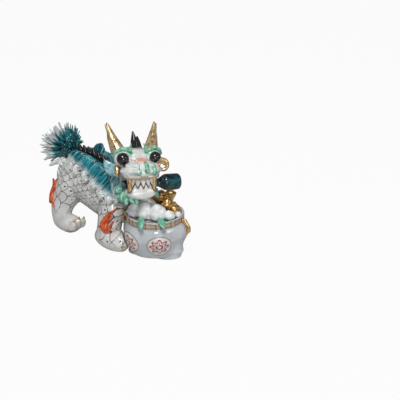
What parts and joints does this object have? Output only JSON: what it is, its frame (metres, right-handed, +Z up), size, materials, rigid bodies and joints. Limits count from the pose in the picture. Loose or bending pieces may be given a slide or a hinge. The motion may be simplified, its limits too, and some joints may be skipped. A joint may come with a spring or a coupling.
{
  "type": "ceramic guardian lion statue",
  "caption": "Glazed porcelain guardian lion with a dragon's head, crouched over a pot of treasure, a loose scroll in its mouth.",
  "frame": {"origin": "middle of the whole statue's footprint, on the surface it stands on", "axes": "+Z up, -Y towards the chest and pot, +Y towards the tail, +X towards the beast's own left"},
  "size_m": [0.11, 0.2488, 0.1635],
  "materials": {
    "white_glaze": "glossy white glaze with gold and black scale lines",
    "teal_glaze": "glossy teal glaze, pale at the raised ends",
    "pale_teal_glaze": "glossy pale teal glaze",
    "orange_enamel": "glossy orange enamel",
    "black_glaze": "glossy black glaze",
    "tooth_glaze": "glossy ivory glaze",
    "green_enamel": "glossy mint enamel",
    "gold_lustre": "mirror gold lustre over glaze",
    "pot_glaze": "glossy bluish-white glaze with red ornament",
    "bed_glaze": "glazed heap inside the pot",
    "pearl_glaze": "glossy white glaze",
    "scroll_glaze": "glossy dark teal glaze"
  },
  "bodies": {
    "statue": {"torso": "white_glaze", "neck": "white_glaze", "left_hind_leg": "white_glaze", "right_hind_leg": "white_glaze", "left_front_leg": "white_glaze", "right_front_leg": "white_glaze", "left_hind_claws": "gold_lustre", "right_hind_claws": "gold_lustre", "left_front_claws": "gold_lustre", "right_front_claws": "gold_lustre", "left_hind_flame": "orange_enamel", "right_hind_flame": "orange_enamel", "left_front_flame": "orange_enamel", "right_front_flame": "orange_enamel", "left_mane": "teal_glaze", "right_mane": "teal_glaze", "neck_locks": "teal_glaze", "dorsal_spines": "black_glaze", "tail_stem": "teal_glaze", "tail_plume": "teal_glaze", "skull": "white_glaze", "muzzle": "white_glaze", "lower_jaw": "white_glaze", "upper_teeth": "tooth_glaze", "lower_teeth": "tooth_glaze", "left_fang": "gold_lustre", "right_fang": "gold_lustre", "left_eye": "black_glaze", "right_eye": "black_glaze", "left_brow": "green_enamel", "right_brow": "green_enamel", "left_horn": "gold_lustre", "right_horn": "gold_lustre", "crest_spike": "black_glaze", "left_ear": "pale_teal_glaze", "right_ear": "pale_teal_glaze", "nose_ridge": "orange_enamel", "nose_curls": "green_enamel", "left_whisker": "gold_lustre", "right_whisker": "gold_lustre", "beard": "green_enamel", "pot": "pot_glaze", "left_pot_handle": "gold_lustre", "right_pot_handle": "gold_lustre", "treasure_bed": "bed_glaze", "peaches": "white_glaze", "peach_leaves": "green_enamel", "gold_ingots": "gold_lustre", "gold_coins": "gold_lustre", "pearls": "pearl_glaze"},
    "scroll": {"scroll_roller": "scroll_glaze", "scroll_paper": "scroll_glaze"}
  },
  "joints": [
    {"name": "scroll_slide", "type": "slide", "parent": "statue", "child": "scroll", "axis": [0.8725, -0.4836, -0.0698], "range_m": [0, 0.05]}
  ]
}
